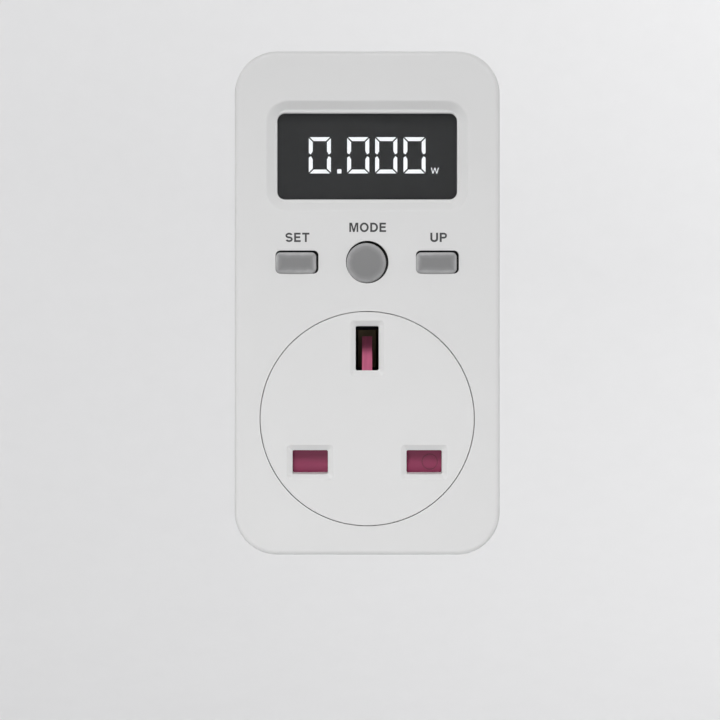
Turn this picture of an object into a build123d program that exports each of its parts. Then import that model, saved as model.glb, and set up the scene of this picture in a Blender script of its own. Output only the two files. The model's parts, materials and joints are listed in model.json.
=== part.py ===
from build123d import *
import os

os.makedirs("parts", exist_ok=True)

# Plug-through power meter for BS 1363 sockets, in millimetres.
# X is across, Z is up and the front looks along -Y. The origin is on the rear face, midway
# between the live and neutral pins. Depths below are measured into the body from its front face.

# casing
BODY_W = 51.6
BODY_H = 98.0
BODY_DEPTH = 36.0
BODY_MID = 31.0
CORNER_R = 8.3
EDGE_R = 1.0
WALL = 2.0
SPLIT = 22.0
LIP = 2.0
LIP_GAP = 0.1
SEAM_BEVEL = 0.25
LABEL_W, LABEL_H, LABEL_Z, LABEL_R = 30.0, 20.0, 58.0, 1.0
LABEL_T, LABEL_RECESS, LABEL_GAP = 0.2, 0.25, 0.2

# plug pins
PIN_X = 11.1
EARTH_Z = 22.2
PIN_W, PIN_T = 6.35, 3.97
EARTH_H = 7.92
PIN_LONG = 17.7
EARTH_LONG = 22.73
SLEEVE_LONG = 9.5
SLEEVE_T, CORE_INSET = 0.48, 0.5
PIN_HOLE_GAP = 0.12
PIN_EDGE_R, PIN_BEVEL = 0.3, 0.9
SHOULDER_RIM, SHOULDER_BACK = 1.3, 34.0
PIN_TAIL_T, PIN_TAIL_FRONT = 2.0, 25.2

# socket apertures
POLE_W, POLE_H = 6.9, 4.7
POLE_SILL = 0.3
EARTH_SLOT_W, EARTH_SLOT_H = 4.5, 8.65
SLOT_R, MOUTH_R = 0.35, 0.65
LEAD_IN, LEAD_DEPTH = 1.05, 0.7

# round socket insert
DISC_Z = 8.5
DISC_R = 20.78
DISC_HOLE_R = 20.92
DISC_DEPTH = 3.0
DISC_EDGE_R = 0.12
FLANGE_R = 22.0
FLANGE_FRONT = 2.1

# display
DISPLAY_Z = 59.6
WINDOW_W, WINDOW_H, WINDOW_R = 35.05, 16.8, 1.5
BEZEL_W, BEZEL_H, BEZEL_R = 39.1, 21.4, 4.2
BEZEL_DEPTH = 1.2
BEZEL_SLOPE = 1.6
BEZEL_ROUND, WINDOW_ROUND = 0.6, 0.35
LENS_W, LENS_H, LENS_T, LENS_R = 37.0, 18.8, 1.2, 0.4
LENS_GAP, RIDGE_T = 0.15, 1.85
LCD_W, LCD_H = 39.0, 22.0
LCD_FRONT, LCD_BACK = 3.5, 5.9
HOLDER_W, HOLDER_H, HOLDER_R = 41.0, 23.8, 1.0
HOLDER_FRONT, HOLDER_GAP = 3.4, 0.15
GUIDE_W, GUIDE_H = 38.6, 18.4
GUIDE_FRONT, GUIDE_BACK = 6.0, 8.3
ZEBRA_W, ZEBRA_T = 37.0, 1.6

# buttons and their switches
BUTTON_Z = 38.95
BUTTON_X = 13.65
KEY_W, KEY_H, KEY_R = 7.85, 4.06, 0.9
KEY_HOLE_W, KEY_HOLE_H, KEY_HOLE_R = 8.35, 4.5, 0.95
MODE_R, MODE_HOLE_R = 3.85, 4.15
CAP_SHIFT_X, CAP_SHIFT_Z = -0.19, -0.16
CAP_PROUD = 0.8
CAP_DOME_R = 24.0
CAP_RIM_R = 0.65
CAP_FLANGE, CAP_FLANGE_T = 0.9, 0.8
CAP_FLANGE_FRONT = 2.3
STEM_R = 1.5
SWITCH_SIZE, SWITCH_R = 6.0, 0.4
SWITCH_FRONT = 5.6
PLUNGER_R, PLUNGER_BORE_R = 1.75, 1.83
PLUNGER_FRONT, PLUNGER_BACK = 4.9, 6.9
PLUNGER_BORE_BACK = 7.6

# boards
BOARD_T = 1.6
DISPLAY_BOARD = 9.0
DISPLAY_BOARD_BACK = DISPLAY_BOARD + BOARD_T
POWER_BOARD = 24.0
BOARD_W = 45.2
BOARD_LOW, BOARD_HIGH = 31.6, 78.0
NOTCH_W, NOTCH_H = 6.6, 7.2

# screws and bosses
POST_R = 3.0
POST_X = 19.8
POST_Z = (-12.8, 74.8)
POST_GAP = 0.2
SCREW_SEAT = 26.0
SLEEVE_WALL = 1.0
HEAD_R, HEAD_T, HEAD_GAP = 2.7, 2.0, 0.2
SHANK_R, SHANK_GAP = 1.45, 0.15
SHANK_LONG = 12.0
PILOT_R, PILOT_FLOOR = 1.5, 3.0
SMALL_HEAD_R, SMALL_HEAD_T = 1.9, 1.4
SMALL_SHANK_R, SMALL_PILOT_R = 0.9, 0.95
SMALL_HOLE_R = 1.0
SMALL_SHANK_LONG = 6.0
SMALL_BOSS_R = 2.2
CROSS_W, CROSS_SPAN, CROSS_DEPTH = 0.7, 1.2, 0.6
HEAD_ROUND = 0.3
DISPLAY_SCREWS = ((-20.6, 34.0), (20.6, 34.0), (-11.0, 75.0), (11.0, 75.0))
POWER_SCREWS = ((-19.5, 36.0), (19.5, 36.0), (-19.5, 66.5), (19.5, 66.5))
CLAMP_SCREWS = ((-12.0, 14.0), (12.0, 14.0), (0.0, -2.0))

# shutter and its spring
SHUTTER_FRONT, SHUTTER_BACK = 3.3, 5.8
WING_W, WING_H, WING_R = 30.8, 6.8, 0.8
STEM_W = 6.0
STEM_TOP = 16.6
RAMP_W, RAMP_SETBACK = 2.0, 0.2
RAMP_ROOT, RAMP_LOW, RAMP_TOP = 13.6, 17.7, 24.6
RAMP_BACK = 10.3
EJECTOR_X, EJECTOR_R, EJECTOR_LINE = 12.25, 1.6, 0.22
SPRING_R, SPRING_WIRE_R, SPRING_GAP = 1.2, 0.18, 0.02
SPRING_TURNS = 8

# contact carrier
CARRIER_W, CARRIER_R = 34.4, 2.0
CARRIER_LOW, CARRIER_HIGH = -7.0, 29.0
CARRIER_FRONT, CARRIER_BACK = 6.2, 22.0
POCKET_W, POCKET_R, POCKET_FLOOR = 9.2, 0.6, 21.2
EARTH_POCKET_H = 11.0
GUIDE_GAP, GUIDE_DEPTH = 0.05, 11.6
RAMP_SLOT_W, RAMP_SLOT_LOW, RAMP_SLOT_BACK = 3.4, 6.1, 10.9
FOOT_W, FOOT_DEPTH = 10.0, 11.2
SHELF_W, SHELF_T, SHELF_Z = 7.0, 1.5, -13.0
RAIL_T, RAIL_H, RAIL_Z, RAIL_GAP = 1.2, 22.0, 7.0, 0.3
LEG_SIZE, LEG_INSET_X, LEG_INSET_Z = 2.4, 2.0, 2.2

# contacts, links and wires
CLIP_T = 0.8
CLIP_MOUTH, CLIP_PINCH, CLIP_BASE = 11.8, 14.0, 20.7
MOUTH_HALF, PINCH_HALF, BASE_HALF = 3.4, 2.2, 2.9
POLE_CLIP_W, EARTH_CLIP_W = 6.4, 7.6
TAIL_W, TAIL_OFFSET, TAIL_BACK = 4.0, 0.6, 24.8
PASSAGE_W, PASSAGE_T = 4.4, 2.4
LINK_T, LINK_OFFSET = 0.6, 1.3
LINK_FRONT, LINK_BACK = 22.8, 27.2
ARCH_FRONT, ARCH_BACK, ARCH_RISE = 24.0, 26.0, 5.6
WIRE_R, WIRE_BEND_R = 0.45, 0.6
WIRE_X, WIRE_FRONT, WIRE_START, WIRE_TOP = 7.4, 23.2, 26.4, 36.0

# plug clamp
CLAMP_FRONT, CLAMP_BACK = 27.4, 31.4
CLAMP_SIZE, CLAMP_Z, CLAMP_R = 35.0, 11.0, 3.0

# components: centre (X, Z), size and depth of each
LEG_R, THICK_LEG_R = 0.3, 0.35
FILM_X, FILM_Z, FILM_W, FILM_H, FILM_R = -11.0, 60.0, 18.0, 8.5, 0.6
FILM_FRONT, FILM_BACK, FILM_LEGS = 13.2, 23.6, 15.0
CAN_X, CAN_Z, CAN_R, CAN_LONG, CAN_DEPTH = 12.0, 63.5, 4.0, 10.6, 18.3
CAN_EDGE_R, CAN_LEGS, CAN_GROOVE_R, CAN_GROOVE = 0.5, 3.5, 3.7, (21.4, 22.2)
VARISTOR_X, VARISTOR_Z, VARISTOR_R, VARISTOR_T, VARISTOR_DEPTH = 12.0, 53.0, 4.6, 3.4, 18.4
VARISTOR_EDGE_R, VARISTOR_LEGS, VARISTOR_FOOT = 0.8, 5.0, 20.5
RESISTOR_X, RESISTOR_Z, RESISTOR_R, RESISTOR_LONG, RESISTOR_DEPTH = -11.0, 50.5, 2.2, 11.0, 20.6
RESISTOR_EDGE_R, RESISTOR_LEG_START, RESISTOR_LEG_END = 0.6, 5.2, 7.5
DIODE_X, DIODE_PITCH, DIODE_COUNT, DIODE_Z = -16.5, 4.2, 4, 42.0
DIODE_R, DIODE_LONG, DIODE_DEPTH, DIODE_LEG_START, DIODE_LEG_END = 1.3, 4.2, 22.3, 2.0, 4.0
CHIP_R, CHIP_LEG_W, CHIP_LEG_H, CHIP_LEG_T, CHIP_GAP = 0.2, 1.2, 0.45, 0.7, 0.1
MICRO_X, MICRO_Z, MICRO_W, MICRO_H, MICRO_FACE, MICRO_LEGS = -8.0, 58.0, 10.0, 10.0, 12.1, 12
METER_X, METER_Z, METER_W, METER_H, METER_FACE, METER_LEGS = 9.0, 43.0, 4.0, 10.0, 22.4, 8
CELL_X, CELL_Z, CELL_R, CELL_LONG, CELL_GAP, CELL_EDGE_R = 13.0, 44.0, 5.8, 5.2, 0.2, 0.7
CRYSTAL_X, CRYSTAL_Z, CRYSTAL_R, CRYSTAL_LONG, CRYSTAL_GAP = 2.0, 60.0, 1.5, 8.0, 0.1
CRYSTAL_EDGE_R = 0.3
HEADER_Z, HEADER_PITCH, HEADER_COUNT = 34.0, 2.54, 5
HEADER_W, HEADER_T, HEADER_PIN, HEADER_HOLE = 12.7, 2.5, 0.64, 0.7


def rect(width, height, x=0.0, z=0.0, radius=0.0):
    """Rectangle in the front view, with round corners if a radius is given."""
    if radius:
        return Pos(x, z) * RectangleRounded(width, height, radius)
    return Pos(x, z) * Rectangle(width, height)


def ring(radius, x=0.0, z=0.0):
    """Circle in the front view."""
    return Pos(x, z) * Circle(radius)


def slab(outline, front, back):
    """Extrude a front-view outline between two depths."""
    return extrude(Plane.XZ.offset(BODY_DEPTH - back) * outline, amount=back - front)


def taper(first, first_depth, second, second_depth):
    """Solid with sloping sides between two front-view outlines."""
    start = Plane.XZ.offset(BODY_DEPTH - first_depth) * first
    end = Plane.XZ.offset(BODY_DEPTH - second_depth) * second
    return loft([start.face(), end.face()])


def side_profile(points, width, x=0.0):
    """Closed profile of (depth, z) points, as thick in X as the given width."""
    outline = make_face(Polyline(*[(depth - BODY_DEPTH, z) for depth, z in points], close=True))
    return Pos(x, 0, 0) * extrude(Plane.YZ * outline, amount=width / 2, both=True)


def side_strip(points, thickness, width, x=0.0):
    """Bent sheet that follows (depth, z) points, as wide in X as the given width."""
    strip = trace(Polyline(*[(depth - BODY_DEPTH, z) for depth, z in points]), line_width=thickness)
    return Pos(x, 0, 0) * extrude(Plane.YZ * strip, amount=width / 2, both=True)


def wire(points, radius):
    """Round wire through (x, depth, z) points, with rounded bends."""
    path = FilletPolyline(*[(x, depth - BODY_DEPTH, z) for x, depth, z in points], radius=WIRE_BEND_R)
    return sweep(Plane(origin=path @ 0, z_dir=path % 0) * Circle(radius), path=path)


def drum(x, depth, z, radius, length, axis, edge_r):
    """Cylinder with rounded ends, lying along X or Z, or standing along Y."""
    turn = {"x": Rot(0, 90, 0), "y": Rot(90, 0, 0), "z": Rot(0, 0, 0)}[axis]
    can = Pos(x, depth - BODY_DEPTH, z) * turn * Cylinder(radius, length)
    return fillet(can.edges().filter_by(GeomType.CIRCLE), edge_r)


def screw(x, z, seat, head_r, head_t, shank_r, shank_long, toward):
    """Cross-head screw seated at a depth. Toward is -1 if its shank runs to the front, else 1."""
    head_back = seat - toward * head_t
    head = slab(ring(head_r, x, z), min(seat, head_back), max(seat, head_back))
    tip = seat + toward * shank_long
    shank = slab(ring(shank_r, x, z), min(seat, tip), max(seat, tip))
    cross = rect(head_r * CROSS_SPAN, CROSS_W, x, z) + rect(CROSS_W, head_r * CROSS_SPAN, x, z)
    recess_floor = head_back + toward * head_t * CROSS_DEPTH
    recess = slab(cross, min(head_back, recess_floor), max(head_back, recess_floor))
    rims = head.edges().filter_by(GeomType.CIRCLE).sort_by(Axis.Y)
    outer_rim = rims[-1] if toward < 0 else rims[0]
    return fillet([outer_rim], head_t * HEAD_ROUND) + shank - recess


def small_screws(places, seat, toward):
    """Set of board or clamp screws."""
    sizes = (SMALL_HEAD_R, SMALL_HEAD_T, SMALL_SHANK_R, SMALL_SHANK_LONG)
    return Compound([screw(x, z, seat, *sizes, toward) for x, z in places])


def casing_screws():
    """The four screws that hold the two halves of the casing together."""
    sizes = (HEAD_R, HEAD_T, SHANK_R, SHANK_LONG)
    return Compound([screw(x, z, SCREW_SEAT, *sizes, -1) for x, z in post_places()])


def body_outline(inset=0.0):
    """Outline of the casing, drawn in by an inset."""
    return rect(BODY_W - 2 * inset, BODY_H - 2 * inset, z=BODY_MID, radius=CORNER_R - inset)


def post_places():
    """The four corner positions of the casing screws."""
    return [(side * POST_X, z) for side in (-1, 1) for z in POST_Z]


def button_x(name):
    """Where a button's hole sits across the front."""
    return {"set": -BUTTON_X, "mode": 0.0, "up": BUTTON_X}[name]


def button_hole(name):
    """Outline of the casing hole for a button."""
    x = button_x(name)
    if name == "mode":
        return ring(MODE_HOLE_R, x, BUTTON_Z)
    return rect(KEY_HOLE_W, KEY_HOLE_H, x, BUTTON_Z, KEY_HOLE_R)


def cap_centre(name):
    """Centre of a button's cap, which stands a little low and to the left in its hole."""
    return button_x(name) + CAP_SHIFT_X, BUTTON_Z + CAP_SHIFT_Z


def button_cap(name):
    """Push button: domed cap, hidden flange and the stem that meets the switch."""
    x, z = cap_centre(name)
    if name == "mode":
        outline = ring(MODE_R, x, z)
        flange = ring(MODE_R + CAP_FLANGE, x, z)
    else:
        outline = rect(KEY_W, KEY_H, x, z, KEY_R)
        flange = rect(KEY_W + 2 * CAP_FLANGE, KEY_H + 2 * CAP_FLANGE, x, z, KEY_R)
    flange_back = CAP_FLANGE_FRONT + CAP_FLANGE_T
    dome = Pos(x, CAP_DOME_R - BODY_DEPTH - CAP_PROUD, z) * Sphere(CAP_DOME_R)
    cap = slab(outline, -CAP_PROUD, CAP_FLANGE_FRONT) & dome
    crown = cap.faces().sort_by(Axis.Y)[0]
    cap = fillet(crown.edges(), CAP_RIM_R)
    cap += slab(flange, CAP_FLANGE_FRONT, flange_back)
    return cap + slab(ring(STEM_R, x, z), flange_back, PLUNGER_FRONT)


def switch_body(name):
    """Square tact switch on the display board, open for its plunger."""
    x, z = cap_centre(name)
    block = slab(rect(SWITCH_SIZE, SWITCH_SIZE, x, z, SWITCH_R), SWITCH_FRONT, DISPLAY_BOARD)
    return block - slab(ring(PLUNGER_BORE_R, x, z), SWITCH_FRONT, PLUNGER_BORE_BACK)


def switch_plunger(name):
    """Plunger of a tact switch."""
    return slab(ring(PLUNGER_R, *cap_centre(name)), PLUNGER_FRONT, PLUNGER_BACK)


def inner_edges(shape, depth, width, height):
    """Edges at a depth that lie wholly inside a width and height about the display's centre."""
    margin = 0.1
    plane_y = depth - BODY_DEPTH
    found = []
    for edge in shape.edges():
        box = edge.bounding_box()
        at_depth = max(abs(box.min.Y - plane_y), abs(box.max.Y - plane_y)) < margin
        across = max(box.max.X, -box.min.X) < width / 2 + margin
        upright = max(box.max.Z - DISPLAY_Z, DISPLAY_Z - box.min.Z) < height / 2 + margin
        if at_depth and across and upright:
            found.append(edge)
    return found


def bezel_recess():
    """Sloping recess in front of the display, with its window, rounded where it meets the face."""
    floor_w = BEZEL_W - 2 * BEZEL_SLOPE
    floor_h = BEZEL_H - 2 * BEZEL_SLOPE
    block = slab(rect(BEZEL_W + BEZEL_R, BEZEL_H + BEZEL_R, z=DISPLAY_Z), 0, WALL)
    mouth = rect(BEZEL_W, BEZEL_H, z=DISPLAY_Z, radius=BEZEL_R)
    floor = rect(floor_w, floor_h, z=DISPLAY_Z, radius=BEZEL_R - BEZEL_SLOPE)
    window = rect(WINDOW_W, WINDOW_H, z=DISPLAY_Z, radius=WINDOW_R)
    wall = block - taper(mouth, 0, floor, BEZEL_DEPTH)
    wall = fillet(inner_edges(wall, 0, BEZEL_W, BEZEL_H), BEZEL_ROUND)
    wall -= slab(window, 0, WALL)
    wall = fillet(inner_edges(wall, BEZEL_DEPTH, WINDOW_W, WINDOW_H), WINDOW_ROUND)
    return block - wall


def front_shell():
    """Front half of the casing."""
    shell = slab(body_outline(), 0, SPLIT)
    front = shell.faces().sort_by(Axis.Y)[0]
    shell = fillet(front.edges(), EDGE_R)
    shell = chamfer(shell.faces().sort_by(Axis.Y)[-1].edges(), SEAM_BEVEL)
    shell -= slab(body_outline(WALL), WALL, SPLIT)
    shell -= slab(body_outline(WALL / 2), SPLIT - LIP, SPLIT)
    shell -= bezel_recess()
    ridge_in_w = LENS_W + 2 * LENS_GAP
    ridge_in_h = LENS_H + 2 * LENS_GAP
    ridge = rect(ridge_in_w + 2 * RIDGE_T, ridge_in_h + 2 * RIDGE_T, z=DISPLAY_Z, radius=WINDOW_R)
    ridge -= rect(ridge_in_w, ridge_in_h, z=DISPLAY_Z, radius=LENS_R)
    shell += slab(ridge, WALL, WALL + LENS_T)
    for name in ("set", "mode", "up"):
        shell -= slab(button_hole(name), 0, WALL)
    shell -= slab(ring(DISC_HOLE_R, 0, DISC_Z), 0, WALL)
    for x, z in post_places():
        shell += slab(ring(POST_R, x, z), WALL, SPLIT)
        shell -= slab(ring(PILOT_R, x, z), PILOT_FLOOR, SPLIT)
    for x, z in DISPLAY_SCREWS:
        shell += slab(ring(SMALL_BOSS_R, x, z), WALL, DISPLAY_BOARD)
        shell -= slab(ring(SMALL_PILOT_R, x, z), PILOT_FLOOR, DISPLAY_BOARD)
    return shell


def rear_bosses(places, front):
    """Bosses on the rear wall for small screws, and the holes in them."""
    wall_front = BODY_DEPTH - WALL
    bosses = [slab(ring(SMALL_BOSS_R, x, z), front, wall_front) for x, z in places]
    holes = [slab(ring(SMALL_PILOT_R, x, z), front, wall_front) for x, z in places]
    return bosses, holes


def rear_shell():
    """Rear half of the casing, with the plug face."""
    wall_front = BODY_DEPTH - WALL
    shell = slab(body_outline(), SPLIT, BODY_DEPTH)
    back = shell.faces().sort_by(Axis.Y)[-1]
    shell = fillet(back.edges(), EDGE_R)
    shell = chamfer(shell.faces().sort_by(Axis.Y)[0].edges(), SEAM_BEVEL)
    shell -= slab(body_outline(WALL), SPLIT, wall_front)
    lip = body_outline(WALL / 2 + LIP_GAP) - body_outline(WALL)
    for x, z in post_places():
        lip -= ring(POST_R + POST_GAP, x, z)
    shell += slab(lip, SPLIT - LIP + LIP_GAP, SPLIT)
    for x, z in post_places():
        sleeve = ring(HEAD_R + SLEEVE_WALL, x, z) & body_outline(WALL / 2)
        shell += slab(sleeve, SPLIT + LIP_GAP, wall_front)
        shell -= slab(ring(SHANK_R + SHANK_GAP, x, z), SPLIT, SCREW_SEAT)
        shell -= slab(ring(HEAD_R + HEAD_GAP, x, z), SCREW_SEAT, BODY_DEPTH)
    for places, front in ((POWER_SCREWS, POWER_BOARD + BOARD_T), (CLAMP_SCREWS, CLAMP_BACK)):
        bosses, holes = rear_bosses(places, front)
        shell = shell + bosses - holes
    pin_holes = [
        rect(PIN_W + 2 * PIN_HOLE_GAP, PIN_T + 2 * PIN_HOLE_GAP, -PIN_X),
        rect(PIN_W + 2 * PIN_HOLE_GAP, PIN_T + 2 * PIN_HOLE_GAP, PIN_X),
        rect(PIN_T + 2 * PIN_HOLE_GAP, EARTH_H + 2 * PIN_HOLE_GAP, z=EARTH_Z),
    ]
    shell -= [slab(hole, wall_front, BODY_DEPTH) for hole in pin_holes]
    label = rect(LABEL_W + 2 * LABEL_GAP, LABEL_H + 2 * LABEL_GAP, z=LABEL_Z, radius=LABEL_R + LABEL_GAP)
    return shell - slab(label, BODY_DEPTH - LABEL_RECESS, BODY_DEPTH)


def aperture(width, height, x, z, sill):
    """Space of one socket aperture: a sloping frame, then a hole whose lower wall rises by the sill."""
    mouth = rect(width + 2 * LEAD_IN, height + 2 * LEAD_IN, x, z, MOUTH_R)
    hole = rect(width, height, x, z, SLOT_R)
    back = rect(width, height - sill, x, z + sill / 2, SLOT_R)
    return taper(mouth, 0, hole, LEAD_DEPTH) + taper(hole, LEAD_DEPTH, back, DISC_DEPTH)


def socket_face():
    """Round insert with the three apertures and their sloping frames."""
    disc = slab(ring(DISC_R, 0, DISC_Z), 0, DISC_DEPTH)
    rim = disc.edges().filter_by(GeomType.CIRCLE).sort_by(Axis.Y)[0]
    disc = fillet([rim], DISC_EDGE_R)
    disc += slab(ring(FLANGE_R, 0, DISC_Z), FLANGE_FRONT, DISC_DEPTH)
    for x in (-PIN_X, PIN_X):
        disc -= aperture(POLE_W, POLE_H, x, 0, POLE_SILL)
    return disc - aperture(EARTH_SLOT_W, EARTH_SLOT_H, 0, EARTH_Z, 0)


def shutter():
    """Sliding shutter: a plate over both pole apertures and a ramp behind the earth aperture."""
    plate = rect(WING_W, WING_H, radius=WING_R)
    plate += rect(STEM_W, STEM_TOP, z=STEM_TOP / 2)
    body = slab(plate, SHUTTER_FRONT, SHUTTER_BACK)
    mark = ring(EJECTOR_R, EJECTOR_X) - ring(EJECTOR_R - EJECTOR_LINE, EJECTOR_X)
    body -= slab(mark, SHUTTER_FRONT, SHUTTER_FRONT + EJECTOR_LINE / 2)
    ramp = [
        (SHUTTER_FRONT + RAMP_SETBACK, RAMP_ROOT),
        (SHUTTER_FRONT + RAMP_SETBACK, RAMP_LOW),
        (RAMP_BACK - RAMP_SETBACK, RAMP_TOP),
        (RAMP_BACK, RAMP_TOP),
        (RAMP_BACK, RAMP_LOW),
        (SHUTTER_BACK, RAMP_ROOT),
    ]
    return body + side_profile(ramp, RAMP_W)


def shutter_spring():
    """Compression spring under the shutter."""
    low = SHELF_Z + SPRING_WIRE_R + SPRING_GAP
    high = -WING_H / 2 - SPRING_WIRE_R - SPRING_GAP
    coil = Helix(pitch=(high - low) / SPRING_TURNS, height=high - low, radius=SPRING_R)
    wire_end = Plane(origin=coil @ 0, z_dir=coil % 0) * Circle(SPRING_WIRE_R)
    middle = (SHUTTER_FRONT + SHUTTER_BACK) / 2 - BODY_DEPTH
    return Pos(0, middle, low) * sweep(wire_end, path=coil, is_frenet=True)


def contact_carrier():
    """Dark moulding with a pocket for each contact, a slot for the ramp and the spring's shelf."""
    middle = (CARRIER_HIGH + CARRIER_LOW) / 2
    outline = rect(CARRIER_W, CARRIER_HIGH - CARRIER_LOW, z=middle, radius=CARRIER_R)
    block = slab(outline, CARRIER_FRONT, CARRIER_BACK)
    for x in (-PIN_X, PIN_X):
        block -= slab(rect(POCKET_W, POCKET_W, x, radius=POCKET_R), CARRIER_FRONT, POCKET_FLOOR)
        block -= slab(rect(PASSAGE_W, PASSAGE_T, x), POCKET_FLOOR, CARRIER_BACK)
    guide = rect(EARTH_SLOT_W + 2 * GUIDE_GAP, EARTH_SLOT_H + 2 * GUIDE_GAP, z=EARTH_Z)
    earth_pocket = rect(POCKET_W, EARTH_POCKET_H, z=EARTH_Z, radius=POCKET_R)
    block -= slab(guide, CARRIER_FRONT, GUIDE_DEPTH)
    block -= slab(earth_pocket, GUIDE_DEPTH, POCKET_FLOOR)
    block -= slab(rect(PASSAGE_T, PASSAGE_W, z=EARTH_Z), POCKET_FLOOR, CARRIER_BACK)
    slot = rect(RAMP_SLOT_W, EARTH_Z - RAMP_SLOT_LOW, z=(RAMP_SLOT_LOW + EARTH_Z) / 2)
    block -= slab(slot, CARRIER_FRONT, RAMP_SLOT_BACK)
    foot_low = SHELF_Z - SHELF_T
    foot_high = CARRIER_LOW + 1
    foot = rect(FOOT_W, foot_high - foot_low, z=(foot_high + foot_low) / 2)
    block += slab(foot, CARRIER_FRONT, FOOT_DEPTH)
    block += slab(rect(SHELF_W, SHELF_T, z=SHELF_Z - SHELF_T / 2), SHUTTER_FRONT, CARRIER_FRONT)
    for side in (-1, 1):
        rail_x = side * ((WING_W + RAIL_T) / 2 + RAIL_GAP)
        block += slab(rect(RAIL_T, RAIL_H, rail_x, RAIL_Z), DISC_DEPTH, CARRIER_FRONT)
        leg_x = side * (CARRIER_W / 2 - LEG_INSET_X)
        for leg_z in (CARRIER_LOW + LEG_INSET_Z, CARRIER_HIGH - LEG_INSET_Z):
            block += slab(rect(LEG_SIZE, LEG_SIZE, leg_x, leg_z), CARRIER_BACK, CLAMP_FRONT)
    return block


def clip_profile():
    """Open spring clip: two leaves that pinch the pin, joined at the base."""
    leaf = [(CLIP_MOUTH, MOUTH_HALF), (CLIP_PINCH, PINCH_HALF), (CLIP_BASE, BASE_HALF)]
    return leaf + [(depth, -z) for depth, z in reversed(leaf)]


def pole_contact(x):
    """Brass clip for a live or neutral pin, with its tail."""
    clip = side_strip(clip_profile(), CLIP_T, POLE_CLIP_W, x)
    return clip + slab(rect(TAIL_W, CLIP_T, x, TAIL_OFFSET), CLIP_BASE, TAIL_BACK)


def earth_contact():
    """Brass clip for the earth pin, turned a quarter so that its leaves stand left and right."""
    clip = Pos(0, 0, EARTH_Z) * Rot(0, 90, 0) * side_strip(clip_profile(), CLIP_T, EARTH_CLIP_W)
    return clip + slab(rect(CLIP_T, TAIL_W, TAIL_OFFSET, EARTH_Z), CLIP_BASE, TAIL_BACK)


def plug_pin(x, z, width, height, length, core_inset):
    """Plug pin with its shoulder and tail, thinner at the root if a sleeve covers it."""
    tip = BODY_DEPTH + length
    sleeve_end = BODY_DEPTH + SLEEVE_LONG
    blade_start = sleeve_end if core_inset else SHOULDER_BACK
    outline = rect(width, height, x, z, PIN_EDGE_R)
    point = rect(width - 2 * PIN_BEVEL, height - 2 * PIN_BEVEL, x, z, PIN_EDGE_R)
    pin = slab(outline, blade_start, tip - PIN_BEVEL) + taper(outline, tip - PIN_BEVEL, point, tip)
    if core_inset:
        core = rect(width - 2 * core_inset, height - 2 * core_inset, x, z)
        pin += slab(core, SHOULDER_BACK, sleeve_end)
    pin += slab(rect(width + 2 * SHOULDER_RIM, height + 2 * SHOULDER_RIM, x, z), CLAMP_BACK, SHOULDER_BACK)
    upright = height > width
    tail = rect(PIN_TAIL_T, TAIL_W, x, z) if upright else rect(TAIL_W, PIN_TAIL_T, x, z)
    return pin + slab(tail, PIN_TAIL_FRONT, CLAMP_BACK)


def pin_sleeve(x):
    """Insulating sleeve at the root of a plug pin."""
    sleeve = rect(PIN_W, PIN_T, x, 0, PIN_EDGE_R) - rect(PIN_W - 2 * SLEEVE_T, PIN_T - 2 * SLEEVE_T, x)
    return slab(sleeve, SHOULDER_BACK, BODY_DEPTH + SLEEVE_LONG)


def pin_clamp():
    """Plate that presses the pin shoulders against the rear shell."""
    outline = rect(CLAMP_SIZE, CLAMP_SIZE, z=CLAMP_Z, radius=CLAMP_R)
    for x in (-PIN_X, PIN_X):
        outline -= rect(PASSAGE_W, PASSAGE_T, x)
    outline -= rect(PASSAGE_T, PASSAGE_W, z=EARTH_Z)
    for x, z in CLAMP_SCREWS:
        outline -= ring(SMALL_HOLE_R, x, z)
    return slab(outline, CLAMP_FRONT, CLAMP_BACK)


def current_shunt():
    """Measuring strip that arches from the live contact to the live pin."""
    arch = [
        (LINK_FRONT, LINK_OFFSET),
        (ARCH_FRONT, LINK_OFFSET),
        (ARCH_FRONT, ARCH_RISE),
        (ARCH_BACK, ARCH_RISE),
        (ARCH_BACK, LINK_OFFSET),
        (LINK_BACK, LINK_OFFSET),
    ]
    return side_strip(arch, LINK_T, TAIL_W, PIN_X)


def straight_link(x, z, upright):
    """Strap that joins a contact's tail to the pin's tail."""
    if upright:
        return slab(rect(LINK_T, TAIL_W, x + LINK_OFFSET, z), LINK_FRONT, LINK_BACK)
    return slab(rect(TAIL_W, LINK_T, x, z + LINK_OFFSET), LINK_FRONT, LINK_BACK)


def sense_wire(side):
    """Wire from a pin's tail to the power board."""
    start_x = side * (PIN_X - TAIL_W / 2)
    x = side * WIRE_X
    path = [
        (start_x, WIRE_START, 0),
        (x, WIRE_START, 0),
        (x, WIRE_FRONT, 0),
        (x, WIRE_FRONT, WIRE_TOP),
        (x, POWER_BOARD, WIRE_TOP),
    ]
    return wire(path, WIRE_R)


def board(front, holes):
    """Circuit board with its upper corners cut away round the screw posts."""
    outline = rect(BOARD_W, BOARD_HIGH - BOARD_LOW, z=(BOARD_LOW + BOARD_HIGH) / 2)
    for side in (-1, 1):
        outline -= rect(2 * NOTCH_W, 2 * NOTCH_H, side * BOARD_W / 2, BOARD_HIGH)
    for x, z in holes:
        outline -= ring(SMALL_HOLE_R, x, z)
    return slab(outline, front, front + BOARD_T)


def lcd_holder():
    """Frame that carries the display glass and the light guide on the display board."""
    frame = rect(HOLDER_W, HOLDER_H, z=DISPLAY_Z, radius=HOLDER_R)
    frame -= rect(LCD_W + 2 * HOLDER_GAP, LCD_H + 2 * HOLDER_GAP, z=DISPLAY_Z)
    return slab(frame, HOLDER_FRONT, DISPLAY_BOARD)


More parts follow.
